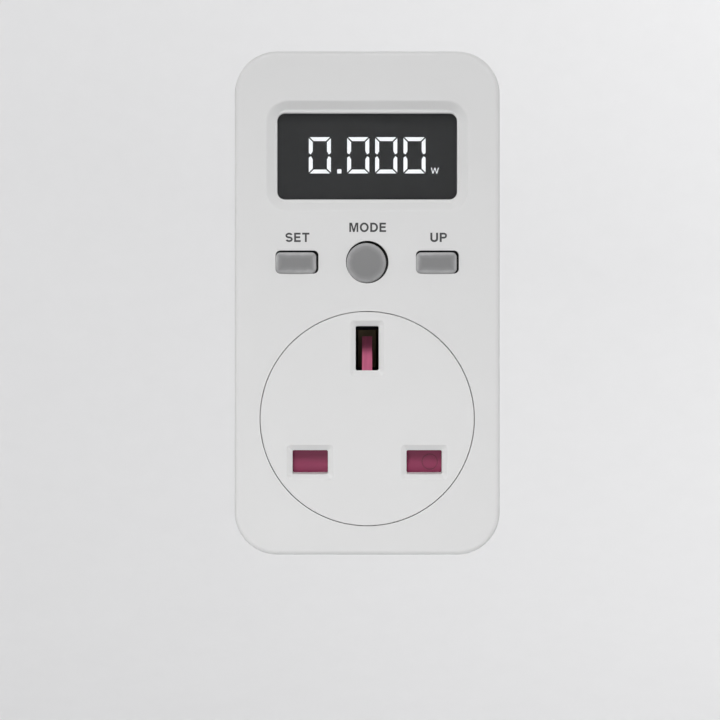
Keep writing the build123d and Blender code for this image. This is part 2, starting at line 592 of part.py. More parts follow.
def zebra_strips():
    """Two rubber connectors between the display glass and its board."""
    offset = (GUIDE_H + ZEBRA_T) / 2 + HOLDER_GAP
    strips = [rect(ZEBRA_W, ZEBRA_T, z=DISPLAY_Z + side * offset) for side in (-1, 1)]
    return Compound([slab(strip, LCD_BACK, DISPLAY_BOARD) for strip in strips])


def legs(x, z, spacing, start, radius):
    """Two straight legs from a component to the power board, side by side in X."""
    return [slab(ring(radius, x + side * spacing / 2, z), start, POWER_BOARD) for side in (-1, 1)]


def film_capacitor():
    """Box-shaped mains capacitor."""
    case = slab(rect(FILM_W, FILM_H, FILM_X, FILM_Z), FILM_FRONT, FILM_BACK)
    case = fillet(case.edges(), FILM_R)
    return case + legs(FILM_X, FILM_Z, FILM_LEGS, FILM_BACK - LEG_R, LEG_R)


def smoothing_capacitor():
    """Upright electrolytic capacitor with its crimped groove."""
    can = drum(CAN_X, CAN_DEPTH, CAN_Z, CAN_R, CAN_LONG, "y", CAN_EDGE_R)
    groove = ring(CAN_R + CAN_EDGE_R, CAN_X, CAN_Z) - ring(CAN_GROOVE_R, CAN_X, CAN_Z)
    can -= slab(groove, *CAN_GROOVE)
    return can + legs(CAN_X, CAN_Z, CAN_LEGS, CAN_DEPTH + CAN_LONG / 2 - LEG_R, LEG_R)


def varistor():
    """Round mains varistor standing on its edge."""
    disc = drum(VARISTOR_X, VARISTOR_DEPTH, VARISTOR_Z, VARISTOR_R, VARISTOR_T, "z", VARISTOR_EDGE_R)
    return disc + legs(VARISTOR_X, VARISTOR_Z, VARISTOR_LEGS, VARISTOR_FOOT, THICK_LEG_R)


def dropper_resistor():
    """Power resistor lying across the board on formed legs."""
    body = drum(RESISTOR_X, RESISTOR_DEPTH, RESISTOR_Z, RESISTOR_R, RESISTOR_LONG, "x", RESISTOR_EDGE_R)
    for side in (-1, 1):
        start = RESISTOR_X + side * RESISTOR_LEG_START
        end = RESISTOR_X + side * RESISTOR_LEG_END
        bend = [
            (start, RESISTOR_DEPTH, RESISTOR_Z),
            (end, RESISTOR_DEPTH, RESISTOR_Z),
            (end, POWER_BOARD, RESISTOR_Z),
        ]
        body += wire(bend, THICK_LEG_R)
    return body


def diodes():
    """Row of rectifier diodes."""
    parts = []
    for i in range(DIODE_COUNT):
        x = DIODE_X + DIODE_PITCH * i
        body = Pos(x, DIODE_DEPTH - BODY_DEPTH, DIODE_Z) * Cylinder(DIODE_R, DIODE_LONG)
        for side in (-1, 1):
            start = DIODE_Z + side * DIODE_LEG_START
            end = DIODE_Z + side * DIODE_LEG_END
            body += wire([(x, DIODE_DEPTH, start), (x, DIODE_DEPTH, end), (x, POWER_BOARD, end)], THICK_LEG_R)
        parts.append(body)
    return Compound(parts)


def chip(x, z, width, height, face, board_face, leg_count):
    """Flat chip between its own face and the board's, with legs along its two upright sides."""
    toward = 1 if board_face > face else -1
    under = board_face - toward * CHIP_GAP
    body = slab(rect(width, height, x, z, CHIP_R), min(face, under), max(face, under))
    leg_top = board_face - toward * CHIP_LEG_T
    for side in (-1, 1):
        leg_x = x + side * (width + 1) / 2
        for i in range(leg_count):
            leg_z = z + (i - (leg_count - 1) / 2) * height / leg_count
            leg = rect(CHIP_LEG_W, CHIP_LEG_H, leg_x, leg_z)
            body += slab(leg, min(leg_top, board_face), max(leg_top, board_face))
    return body


def backup_cell():
    """Rechargeable button cell on the back of the display board."""
    depth = DISPLAY_BOARD_BACK + CELL_GAP + CELL_LONG / 2
    return drum(CELL_X, depth, CELL_Z, CELL_R, CELL_LONG, "y", CELL_EDGE_R)


def crystal():
    """Small watch crystal can on the back of the display board."""
    depth = DISPLAY_BOARD_BACK + CRYSTAL_GAP + CRYSTAL_R
    return drum(CRYSTAL_X, depth, CRYSTAL_Z, CRYSTAL_R, CRYSTAL_LONG, "z", CRYSTAL_EDGE_R)


def header_places():
    """Where the header pins stand across the boards."""
    return [(i - (HEADER_COUNT - 1) / 2) * HEADER_PITCH for i in range(HEADER_COUNT)]


def board_connector():
    """Plastic strip of the pin header between the two boards."""
    strip = rect(HEADER_W, HEADER_T, z=HEADER_Z)
    for x in header_places():
        strip -= rect(HEADER_HOLE, HEADER_HOLE, x, HEADER_Z)
    return slab(strip, DISPLAY_BOARD_BACK, DISPLAY_BOARD_BACK + HEADER_T)


def board_pins():
    """Square pins that join the display board to the power board."""
    spots = [rect(HEADER_PIN, HEADER_PIN, x, HEADER_Z) for x in header_places()]
    return Compound([slab(spot, DISPLAY_BOARD_BACK, POWER_BOARD) for spot in spots])


def rating_label():
    """Blank label in its recess on the back."""
    floor = BODY_DEPTH - LABEL_RECESS
    return slab(rect(LABEL_W, LABEL_H, z=LABEL_Z, radius=LABEL_R), floor, floor + LABEL_T)


nodes = {
    "front_shell": front_shell(),
    "rear_shell": rear_shell(),
    "casing_screws": casing_screws(),
    "rating_label": rating_label(),
    "socket_face": socket_face(),
    "display_lens": slab(rect(LENS_W, LENS_H, z=DISPLAY_Z, radius=LENS_R), WALL, WALL + LENS_T),
    "lcd_panel": slab(rect(LCD_W, LCD_H, z=DISPLAY_Z), LCD_FRONT, LCD_BACK),
    "lcd_holder": lcd_holder(),
    "light_guide": slab(rect(GUIDE_W, GUIDE_H, z=DISPLAY_Z), GUIDE_FRONT, GUIDE_BACK),
    "zebra_strips": zebra_strips(),
    "display_pcb": board(DISPLAY_BOARD, DISPLAY_SCREWS),
    "display_pcb_screws": small_screws(DISPLAY_SCREWS, DISPLAY_BOARD_BACK, -1),
    "microcontroller": chip(
        MICRO_X, MICRO_Z, MICRO_W, MICRO_H, MICRO_FACE, DISPLAY_BOARD_BACK, MICRO_LEGS
    ),
    "crystal": crystal(),
    "backup_cell": backup_cell(),
    "board_connector": board_connector(),
    "board_pins": board_pins(),
    "power_pcb": board(POWER_BOARD, POWER_SCREWS),
    "power_pcb_screws": small_screws(POWER_SCREWS, POWER_BOARD, 1),
    "film_capacitor": film_capacitor(),
    "smoothing_capacitor": smoothing_capacitor(),
    "varistor": varistor(),
    "dropper_resistor": dropper_resistor(),
    "diodes": diodes(),
    "metering_chip": chip(METER_X, METER_Z, METER_W, METER_H, METER_FACE, POWER_BOARD, METER_LEGS),
    "shutter": shutter(),
    "shutter_spring": shutter_spring(),
    "contact_carrier": contact_carrier(),
    "live_contact": pole_contact(PIN_X),
    "neutral_contact": pole_contact(-PIN_X),
    "earth_contact": earth_contact(),
    "current_shunt": current_shunt(),
    "neutral_link": straight_link(-PIN_X, 0, False),
    "earth_link": straight_link(0, EARTH_Z, True),
    "live_pin": plug_pin(PIN_X, 0, PIN_W, PIN_T, PIN_LONG, CORE_INSET),
    "neutral_pin": plug_pin(-PIN_X, 0, PIN_W, PIN_T, PIN_LONG, CORE_INSET),
    "earth_pin": plug_pin(0, EARTH_Z, PIN_T, EARTH_H, EARTH_LONG, 0),
    "live_sleeve": pin_sleeve(PIN_X),
    "neutral_sleeve": pin_sleeve(-PIN_X),
    "pin_clamp": pin_clamp(),
    "clamp_screws": small_screws(CLAMP_SCREWS, CLAMP_FRONT, 1),
    "live_sense_wire": sense_wire(1),
    "neutral_sense_wire": sense_wire(-1),
}

for name in ("set", "mode", "up"):
    nodes[name + "_button"] = button_cap(name)
    nodes[name + "_switch"] = switch_body(name)
    nodes[name + "_plunger"] = switch_plunger(name)

for name, shape in nodes.items():
    export_step(shape, "parts/" + name + ".step")
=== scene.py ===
import json
import math

import bmesh
import bpy
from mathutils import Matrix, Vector


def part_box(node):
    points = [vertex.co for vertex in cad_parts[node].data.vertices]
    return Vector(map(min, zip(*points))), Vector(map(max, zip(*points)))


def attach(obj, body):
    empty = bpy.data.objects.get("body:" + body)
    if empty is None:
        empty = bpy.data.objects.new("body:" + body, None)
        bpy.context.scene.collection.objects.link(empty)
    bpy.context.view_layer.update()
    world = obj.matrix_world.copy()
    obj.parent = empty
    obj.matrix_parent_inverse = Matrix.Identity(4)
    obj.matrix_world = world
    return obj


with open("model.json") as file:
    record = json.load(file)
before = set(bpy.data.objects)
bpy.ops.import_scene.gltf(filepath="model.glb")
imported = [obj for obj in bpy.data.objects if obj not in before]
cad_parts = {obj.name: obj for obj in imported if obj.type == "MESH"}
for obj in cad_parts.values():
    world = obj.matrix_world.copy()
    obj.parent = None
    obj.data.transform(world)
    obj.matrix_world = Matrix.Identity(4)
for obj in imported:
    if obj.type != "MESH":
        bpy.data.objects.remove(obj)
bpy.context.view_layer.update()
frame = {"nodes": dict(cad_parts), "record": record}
nodes = frame["nodes"]
MM = 0.001

# where the main features of the front are
FACE_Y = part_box("front_shell")[0].y
LCD_LOW, LCD_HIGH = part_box("lcd_panel")
DISPLAY_Z = (LCD_LOW.z + LCD_HIGH.z) / 2
MODE_LOW, MODE_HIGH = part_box("mode_button")
BUTTON_Z = (MODE_LOW.z + MODE_HIGH.z) / 2

# seven-segment digits and the unit after them, in millimetres, heights from the display's middle
DIGIT_X = (-9.27, -1.75, 3.74, 9.28)
DIGIT_Z = 0.4
DIGIT_W, DIGIT_H = 4.32, 7.1
STROKE = 0.76
MITRE = 0.2
TIP_LEAN, TIP_GAP, OUTER_GAP, INNER_GAP = 0.4, 0.17, 0.46, 0.78
POINT_X, POINT_SIZE = -5.45, 0.82
UNIT_X, UNIT_Z, UNIT_W, UNIT_H = 13.27, -2.61, 1.56, 1.18
SEGMENT_GAP, SEGMENT_T = 0.01, 0.04
DIGIT_GLOW, UNIT_GLOW = 0.475, 0.4

# printed legends: text, centre X, height above the buttons and width, in millimetres
LEGENDS = (("SET", -13.55, 4.95, 4.65), ("MODE", 0.1, 6.9, 7.15), ("UP", 13.9, 4.95, 3.25))
LEGEND_H = 1.8
INK_SINK, INK_T = 0.002, 0.012

# strokes and spacing of the capitals, as parts of their height
STEM, ARM = 0.215, 0.198
LETTER_GAP = 0.17

# button caps by shape, in millimetres: half sizes of the face, the band of painted highlight inside its
# edge, and how far behind the face the painted black shade fades in
CAP_HALF = {"round": (3.85, 3.85), "square": (3.925, 2.03)}
# painted highlight: how much paler the cap's colour is painted at its rim
RIM_HIGHLIGHT_FACTOR = {"round": 1.7, "square": 2.05}
HIGHLIGHT_BAND_WIDTH, HIGHLIGHT_BAND_END, HIGHLIGHT_BAND_WANDER = 1.3, 0.1, 0.12
# painted shade: depth behind the face over which the cap turns black
GAP_SHADE_FADE = 0.15

# shutter, in millimetres: the ramp below the top of the part, painted paler as painted light, and the
# ring mark of an ejector pin, with its line of painted shade
RAMP_TALL, RAMP_FADE = 7.0, 0.4
EJECTOR_X, EJECTOR_R = 12.25, 1.49
# painted shade: half widths of the dark line along the ring mark, its core and its fade
LINE_CORE, LINE_FADE = 0.03, 0.2

# colours of the casing, the caps and the shutter; the black is painted shade on the caps behind the
# face, and the pale magenta is painted light on the shutter's ramp
WHITE = (0.67, 0.67, 0.668)
CAP_GREY = (0.205, 0.205, 0.207)
GAP_SHADE_BLACK = (0.012, 0.012, 0.012)
MAGENTA = (0.25, 0.018, 0.076)
MAGENTA_PAINTED_LIGHT = (0.75, 0.175, 0.32)

# studio, in metres: a round floor that bends up into a wall, and the camera in front
FLOOR_Z = -0.26
BOWL_R, BOWL_BEND, BOWL_TOP = 1.7, 0.8, 1.5
BEND_STEPS, TURNS = 16, 96
MIDDLE = (0, -0.018, 0.03)
WORLD_STRENGTH = 0.12
CAMERA_DISTANCE = 0.45
CAMERA_X, CAMERA_Z = -0.0014, 0.0199
VIEW_WIDTH = 0.139969
SENSOR_WIDTH = 36


# ---------------------------------------------------------------- node helpers


class Nodes:
    """A material's node tree, with short calls for the nodes used here."""

    def __init__(self, name):
        self.material = bpy.data.materials.new(name)
        self.material.use_nodes = True
        self.tree = self.material.node_tree
        self.shader = self.tree.nodes["Principled BSDF"]
        self.place = self.add("ShaderNodeTexCoord").outputs["Object"]

    def add(self, kind):
        """A new node of a kind."""
        return self.tree.nodes.new(kind)

    def link(self, source, target):
        """Join an output socket to an input socket."""
        self.tree.links.new(source, target)

    def stretched(self, scale):
        """The place, scaled by its own factor along each axis."""
        mapping = self.add("ShaderNodeMapping")
        mapping.inputs["Scale"].default_value = scale
        self.link(self.place, mapping.inputs["Vector"])
        return mapping.outputs["Vector"]

    def noise(self, scale, detail=2.0, vector=None):
        """Cloudy noise, mostly between 0.3 and 0.7."""
        node = self.add("ShaderNodeTexNoise")
        node.inputs["Scale"].default_value = scale
        node.inputs["Detail"].default_value = detail
        self.link(vector or self.place, node.inputs["Vector"])
        return node.outputs["Fac"]

    def ramp(self, factor, stops):
        """Colour along a ramp of (position, colour) stops."""
        node = self.add("ShaderNodeValToRGB")
        for element, (position, colour) in zip(node.color_ramp.elements, (stops[0], stops[-1])):
            element.position = position
            element.color = (*colour, 1)
        for position, colour in stops[1:-1]:
            node.color_ramp.elements.new(position).color = (*colour, 1)
        self.link(factor, node.inputs["Fac"])
        return node.outputs["Color"]

    def span(self, factor, low, high, start=0.3, end=0.7):
        """A factor between start and end, carried over to low and high."""
        node = self.add("ShaderNodeMapRange")
        node.inputs["From Min"].default_value = start
        node.inputs["From Max"].default_value = end
        node.inputs["To Min"].default_value = low
        node.inputs["To Max"].default_value = high
        self.link(factor, node.inputs["Value"])
        return node.outputs["Result"]

    def bump(self, height, distance, strength, before):
        """Bump on top of an earlier one, if there is one."""
        node = self.add("ShaderNodeBump")
        node.inputs["Strength"].default_value = strength
        node.inputs["Distance"].default_value = distance
        self.link(height, node.inputs["Height"])
        if before is not None:
            self.link(before, node.inputs["Normal"])
        return node.outputs["Normal"]

    def set(self, name, value):
        """Set one of the shader's sockets to an even value."""
        self.shader.inputs[name].default_value = value

    def split(self):
        """The place's X, Y and Z."""
        node = self.add("ShaderNodeSeparateXYZ")
        self.link(self.place, node.inputs["Vector"])
        return node.outputs["X"], node.outputs["Y"], node.outputs["Z"]

    def math(self, operation, first, second=None):
        """A math node on a socket and a socket or number."""
        node = self.add("ShaderNodeMath")
        node.operation = operation
        self.link(first, node.inputs[0])
        if isinstance(second, float):
            node.inputs[1].default_value = second
        elif second is not None:
            self.link(second, node.inputs[1])
        return node.outputs["Value"]

    def distance(self, first, second):
        """Length of a flat offset given by two sockets."""
        squares = [self.math("MULTIPLY", offset, offset) for offset in (first, second)]
        return self.math("SQRT", self.math("ADD", *squares))

    def paint(self, factor, stops, over=None, coat=None):
        """Colour the shader along a ramp, with another colour where a second factor is high."""
        colour = self.ramp(factor, stops)
        if over is not None:
            mix = self.add("ShaderNodeMixRGB")
            mix.inputs["Color2"].default_value = (*coat, 1)
            self.link(over, mix.inputs["Fac"])
            self.link(colour, mix.inputs["Color1"])
            colour = mix.outputs["Color"]
        self.link(colour, self.shader.inputs["Base Color"])

    def gloss(self, factor, low, high, start=0.3, end=0.7):
        """Let the shader's roughness vary between two values."""
        self.link(self.span(factor, low, high, start, end), self.shader.inputs["Roughness"])

    def relief(self, *layers):
        """Stack bumps, each (height, distance, strength), on the shader."""
        normal = None
        for height, distance, strength in layers:
            normal = self.bump(height, distance, strength, normal)
        self.link(normal, self.shader.inputs["Normal"])

    def moulded_relief(self, grain=5200.0, depth=0.012):
        """Faint sink marks under a fine spark-eroded grain, with its depth in millimetres."""
        self.relief((self.noise(90.0), 0.02 * MM, 0.35), (self.noise(grain, 3.0), depth * MM, 0.8))

    def soft_sheen(self):
        """The soft sheen of a rubbery surface."""
        self.set("Sheen Weight", 0.4)
        self.set("Sheen Roughness", 0.35)


def shade(colour, factor):
    """A colour made lighter or darker."""
    return tuple(min(1.0, c * factor) for c in colour)


def moulded(name, colour, rough, spread, grain=5200.0, depth=0.012, coat=0.0):
    """Moulded plastic: faint flow mottling, uneven gloss and a fine spark-eroded grain."""
    m = Nodes(name)
    m.paint(m.noise(55.0, 4.0), [(0.3, shade(colour, 1 - spread)), (0.7, shade(colour, 1 + spread))])
    m.gloss(m.noise(130.0, 5.0), rough - 0.06, rough + 0.06)
    m.moulded_relief(grain, depth)
    if coat:
        m.set("Coat Weight", coat)
        m.set("Coat Roughness", 0.12)
    return m.material


def button_plastic(name, shape):
    """Grey cap, painted paler towards its rim as a painted highlight, smoother at the rim, and painted
    black behind the face as painted shade in the gap around it.
    """
    low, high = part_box(name)
    centre = (low + high) / 2
    reach_x, reach_z = CAP_HALF[shape]
    m = Nodes(name)
    place_x, place_y, place_z = m.split()
    across = m.math("SUBTRACT", place_x, centre.x)
    upright = m.math("SUBTRACT", place_z, centre.z)
    if shape == "round":
        edge = m.math("SUBTRACT", m.distance(across, upright), reach_x * MM)
    else:
        over_x = m.math("SUBTRACT", m.math("ABSOLUTE", across), reach_x * MM)
        over_z = m.math("SUBTRACT", m.math("ABSOLUTE", upright), reach_z * MM)
        edge = m.math("MAXIMUM", over_x, over_z)
    # painted highlight: a paler band painted inside the cap's edge, standing in for the light its
    # rounded rim catches; the same band is also smoother
    highlight_edge = m.math("ADD", edge, m.span(m.noise(700.0, 3.0), -HIGHLIGHT_BAND_WANDER * MM, HIGHLIGHT_BAND_WANDER * MM))
    rim_highlight_mask = m.span(highlight_edge, 0.0, 1.0, -HIGHLIGHT_BAND_WIDTH * MM, -HIGHLIGHT_BAND_END * MM)
    # painted shade: the cap is painted black behind the face, so the gap around it looks dark
    gap_shade_mask = m.span(place_y, 0.0, 1.0, FACE_Y, FACE_Y + GAP_SHADE_FADE * MM)
    rim_highlight_colour = shade(CAP_GREY, RIM_HIGHLIGHT_FACTOR[shape])
    m.paint(rim_highlight_mask, [(0.0, CAP_GREY), (0.45, shade(CAP_GREY, 1.15)), (1.0, rim_highlight_colour)], gap_shade_mask, GAP_SHADE_BLACK)
    m.gloss(rim_highlight_mask, 0.62, 0.5, 0.0, 1.0)
    m.moulded_relief()
    m.soft_sheen()
    return m.material


def shutter_plastic(name):
    """Magenta moulding with random tone, painted paler in streaks on the ramp as painted light, with a
    dark line of painted shade along an ejector pin's ring mark.
    """
    ramp_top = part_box("shutter")[1].z
    m = Nodes(name)
    place_x, _, place_z = m.split()
    streaks = m.noise(1.0, 3.0, m.stretched((1800.0, 160.0, 160.0)))
    ramp_foot = ramp_top - RAMP_TALL * MM
    # painted light: the ramp is painted paler, in streaks, standing in for the light that falls on its
    # upward slope
    on_ramp = m.span(place_z, 0.0, 1.0, ramp_foot, ramp_foot + RAMP_FADE * MM)
    ramp_light_mask = m.math("MULTIPLY", on_ramp, m.span(streaks, 0.7, 1.0))
    # painted shade: a dark line along the ejector pin's ring mark, where its shallow groove would lie
    # in shade
    radius = m.distance(m.math("SUBTRACT", place_x, EJECTOR_X * MM), place_z)
    off_line = m.math("ABSOLUTE", m.math("SUBTRACT", radius, EJECTOR_R * MM))
    ring_shade_mask = m.span(off_line, 0.0, 1.0, LINE_CORE * MM, LINE_FADE * MM)
    tone = m.math("MULTIPLY", m.span(m.noise(60.0, 4.0), 0.2, 1.0), ring_shade_mask)
    stops = [(0.0, shade(MAGENTA, 0.55)), (0.2, shade(MAGENTA, 0.93)), (1.0, shade(MAGENTA, 1.07))]
    # random tone with the ring line's painted shade, then the ramp's painted light over it
    m.paint(tone, stops, ramp_light_mask, MAGENTA_PAINTED_LIGHT)
    m.gloss(m.noise(130.0, 5.0), 0.42, 0.54)
    m.moulded_relief()
    return m.material


def metal(name, colour, rough):
    """Drawn or pressed metal: very fine lines along Y, faint tarnish and a few light scuffs."""
    m = Nodes(name)
    lines = m.noise(1.0, 3.0, m.stretched((9000.0, 150.0, 9000.0)))
    scuffs = m.span(m.noise(1.0, 2.0, m.stretched((3000.0, 500.0, 3000.0))), 0.0, 1.0, 0.7, 0.76)
    m.paint(m.noise(110.0, 3.0), [(0.3, shade(colour, 0.94)), (0.66, colour)])
    wear = m.math("ADD", m.span(lines, 0.0, 0.6), m.span(scuffs, 0.0, 0.4, 0.0, 1.0))
    m.gloss(wear, rough - 0.04, rough + 0.1, 0.0, 1.0)
    m.relief((lines, 0.002 * MM, 0.5), (scuffs, 0.004 * MM, 0.4))
    m.set("Metallic", 1.0)
    return m.material


def clear_window(name):
    """Thin clear window: what lies behind shows through, with a gloss on top and faint smears."""
    m = Nodes(name)
    clear = m.add("ShaderNodeBsdfTransparent")
    clear.inputs["Color"].default_value = (0.93, 0.94, 0.95, 1)
    gloss = m.add("ShaderNodeBsdfGlossy")
    m.link(m.span(m.noise(180.0, 4.0), 0.03, 0.12), gloss.inputs["Roughness"])
    facing = m.add("ShaderNodeLayerWeight")
    facing.inputs["Blend"].default_value = 0.5
    grazing = m.math("POWER", facing.outputs["Facing"], 5.0)
    mix = m.add("ShaderNodeMixShader")
    m.link(m.span(grazing, 0.03, 1.0, 0.0, 1.0), mix.inputs["Fac"])
    m.link(clear.outputs["BSDF"], mix.inputs[1])
    m.link(gloss.outputs["BSDF"], mix.inputs[2])
    m.link(mix.outputs["Shader"], m.tree.nodes["Material Output"].inputs["Surface"])
    return m.material


def lit_segments(name, strength):
    """Lit display segments: white, with a slight unevenness of the light behind."""
    m = Nodes(name)
    glow = m.ramp(m.noise(240.0, 2.0), [(0.2, (0.94, 0.93, 0.918)), (0.8, (0.99, 0.98, 0.968))])
    m.link(glow, m.shader.inputs["Base Color"])
    m.link(glow, m.shader.inputs["Emission Color"])
    m.set("Emission Strength", strength)
    m.set("Roughness", 0.4)
    return m.material


def display_glass(name):
    """Dark display glass with a faint film mottle."""
    m = Nodes(name)
    m.paint(m.noise(70.0, 3.0), [(0.3, (0.0250, 0.0247, 0.0241)), (0.7, (0.0275, 0.0272, 0.0266))])
    m.gloss(m.noise(180.0, 2.0), 0.2, 0.26)
    m.set("Specular IOR Level", 0.15)
    return m.material


def circuit_board(name):
    """Green solder mask with raised tracks and a fine glass weave."""
    m = Nodes(name)
    cells = m.add("ShaderNodeTexVoronoi")
    cells.distance = "MANHATTAN"
    cells.feature = "DISTANCE_TO_EDGE"
    cells.inputs["Scale"].default_value = 320.0
    m.link(m.place, cells.inputs["Vector"])
    track = m.span(cells.outputs["Distance"], 1.0, 0.0, 0.04, 0.09)
    m.paint(track, [(0.2, (0.010, 0.075, 0.028)), (0.8, (0.025, 0.165, 0.06))])
    m.relief((m.noise(2600.0, 2.0), 0.01 * MM, 0.4), (track, 0.03 * MM, 0.8))
    m.gloss(m.noise(200.0, 3.0), 0.22, 0.36)
    return m.material


# length in metres of one band of a wave texture at scale 1
WAVE_LENGTH = math.tau / 20


def banded(name, dark, light, pitch):
    """Fine parallel bands across X, as in a striped rubber connector, with their pitch in mm."""
    m = Nodes(name)
    wave = m.add("ShaderNodeTexWave")
    wave.bands_direction = "X"
    wave.inputs["Scale"].default_value = WAVE_LENGTH / (pitch * MM)
    wave.inputs["Distortion"].default_value = 0.05
    m.link(m.place, wave.inputs["Vector"])
    m.paint(wave.outputs["Fac"], [(0.45, dark), (0.55, light)])
    m.gloss(m.noise(300.0), 0.55, 0.68)
    m.relief((wave.outputs["Fac"], 0.01 * MM, 0.5))
    return m.material


# one material per slot of the record: colour, roughness and, for mouldings, how far the colour varies
materials = {
    "white_abs": moulded("white_abs", WHITE, 0.56, 0.008),
    "insert_white": moulded("insert_white", shade(WHITE, 1.01), 0.58, 0.008),
    "magenta_plastic": shutter_plastic("magenta_plastic"),
    "clear_lens": clear_window("clear_lens"),
    "lcd_glass": display_glass("lcd_glass"),
    "holder_black": moulded("holder_black", (0.018, 0.018, 0.018), 0.5, 0.1),
    "light_guide_white": moulded("light_guide_white", (0.80, 0.83, 0.86), 0.25, 0.02),
    "zebra_rubber": banded("zebra_rubber", (0.02, 0.02, 0.02), (0.35, 0.34, 0.36), 1.24),
    "pcb_green": circuit_board("pcb_green"),
    "chip_black": moulded("chip_black", (0.014, 0.014, 0.015), 0.55, 0.15),
    "crystal_steel": metal("crystal_steel", (0.66, 0.66, 0.65), 0.3),
    "capacitor_yellow": moulded("capacitor_yellow", (0.66, 0.36, 0.03), 0.38, 0.06),
    "capacitor_sleeve": moulded("capacitor_sleeve", (0.012, 0.016, 0.05), 0.28, 0.1, coat=0.4),
    "varistor_blue": moulded("varistor_blue", (0.02, 0.07, 0.30), 0.4, 0.12, grain=2200.0, depth=0.04),
    "resistor_green": moulded("resistor_green", (0.10, 0.17, 0.12), 0.6, 0.1, grain=2200.0, depth=0.04),
    "connector_black": moulded("connector_black", (0.016, 0.016, 0.016), 0.5, 0.1),
    "tinned_brass": metal("tinned_brass", (0.70, 0.66, 0.52), 0.25),
    "carrier_black": moulded("carrier_black", (0.034, 0.032, 0.031), 0.48, 0.12),
    "contact_brass": metal("contact_brass", (0.28, 0.215, 0.14), 0.42),
    "pin_brass": metal("pin_brass", (0.76, 0.57, 0.28), 0.24),
    "sleeve_black": moulded("sleeve_black", (0.015, 0.015, 0.016), 0.4, 0.12),
    "shunt_alloy": metal("shunt_alloy", (0.48, 0.32, 0.22), 0.34),
    "wire_brown": moulded("wire_brown", (0.09, 0.03, 0.012), 0.35, 0.1),
    "wire_blue": moulded("wire_blue", (0.012, 0.045, 0.33), 0.35, 0.1),
    "screw_steel": metal("screw_steel", (0.52, 0.52, 0.53), 0.3),
    "spring_steel": metal("spring_steel", (0.60, 0.60, 0.61), 0.22),
    "switch_black": moulded("switch_black", (0.02, 0.02, 0.02), 0.5, 0.1),
    "plunger_black": moulded("plunger_black", (0.03, 0.03, 0.03), 0.45, 0.1),
    "label_silver": moulded("label_silver", (0.52, 0.53, 0.54), 0.35, 0.03, grain=9000.0, depth=0.004),
}

for entry in frame["record"]["subparts"]:
    node = entry["node"]
    if node.endswith("_button"):
        material = button_plastic(node, "round" if node == "mode_button" else "square")
    else:
        material = materials[entry["material_slot"]]
    nodes[node].data.materials.clear()
    nodes[node].data.materials.append(material)


# ---------------------------------------------------------------- display and legends


def flat_piece(name, outlines, back_y, thickness, rings=()):
    """Thin piece from closed (x, z) outlines and (outer, inner) rings of them, in millimetres."""
    bm = bmesh.new()
    for outline in outlines:
        loops = []
        for y in (back_y, back_y - thickness * MM):
            loops.append([bm.verts.new((x * MM, y, z * MM)) for x, z in outline])
        back, front = loops
        bm.faces.new(front)
        bm.faces.new(list(reversed(back)))
        count = len(outline)
        for i in range(count):
            j = (i + 1) % count
            bm.faces.new((front[i], back[i], back[j], front[j]))
    for outer, inner in rings:
        corners = []
        for y in (back_y, back_y - thickness * MM):
            for loop in (outer, inner):
                corners.append([bm.verts.new((x * MM, y, z * MM)) for x, z in loop])
        back_out, back_in, front_out, front_in = corners
        count = len(outer)
        for i in range(count):
            j = (i + 1) % count
            bm.faces.new((front_out[i], front_out[j], front_in[j], front_in[i]))
            bm.faces.new((back_out[i], back_in[i], back_in[j], back_out[j]))
            bm.faces.new((front_out[i], back_out[i], back_out[j], front_out[j]))
            bm.faces.new((front_in[i], front_in[j], back_in[j], back_in[i]))
    bmesh.ops.recalc_face_normals(bm, faces=bm.faces)
    mesh = bpy.data.meshes.new(name)
    bm.to_mesh(mesh)
    bm.free()
    piece = bpy.data.objects.new(name, mesh)
    bpy.context.collection.objects.link(piece)
    return piece


def zero_segments(centre_x, centre_z):
    """The six lit segments of a 0, with mitred corners and pointed middle ends."""
    half_w, half_h = DIGIT_W / 2, DIGIT_H / 2
    inner_w, inner_h = half_w - STROKE, half_h - STROKE
    bar = [
        (-half_w + MITRE, half_h),
        (half_w - MITRE, half_h),
        (inner_w - MITRE, inner_h),
        (-inner_w + MITRE, inner_h),
    ]
    side = [
        (-half_w, half_h - MITRE),
        (-inner_w, inner_h - MITRE),
        (-inner_w, INNER_GAP),
        (-half_w + TIP_LEAN, TIP_GAP),
        (-half_w, OUTER_GAP),
    ]
    shapes = []
    for flip_z in (1, -1):
        shapes.append([(x, z * flip_z) for x, z in bar])
        for flip_x in (1, -1):
            shapes.append([(x * flip_x, z * flip_z) for x, z in side])
    return [[(x + centre_x, z + centre_z) for x, z in shape] for shape in shapes]


def square(x, z, size):
    """Square outline about a point."""
    half = size / 2
    return [(x - half, z - half), (x + half, z - half), (x + half, z + half), (x - half, z + half)]


def arc(centre_x, centre_z, radius_x, radius_z, start, end, steps=12):
    """Points along part of an ellipse, with angles in degrees."""
    points = []
    for i in range(steps + 1):
        angle = math.radians(start + (end - start) * i / steps)
        points.append((centre_x + radius_x * math.cos(angle), centre_z + radius_z * math.sin(angle)))
    return points


def band(points, width):
    """Outline of an even band that follows open points."""
    left, right = [], []
    for i, (x, z) in enumerate(points):
        before, after = points[max(i - 1, 0)], points[min(i + 1, len(points) - 1)]
        dx, dz = after[0] - before[0], after[1] - before[1]
        length = math.hypot(dx, dz)
        nx, nz = -dz / length * width / 2, dx / length * width / 2
        left.append((x + nx, z + nz))
        right.append((x - nx, z - nz))
    return left + right[::-1]


def box_outline(x0, z0, x1, z1):
    """Upright rectangle between two corners."""
    return [(x0, z0), (x1, z0), (x1, z1), (x0, z1)]


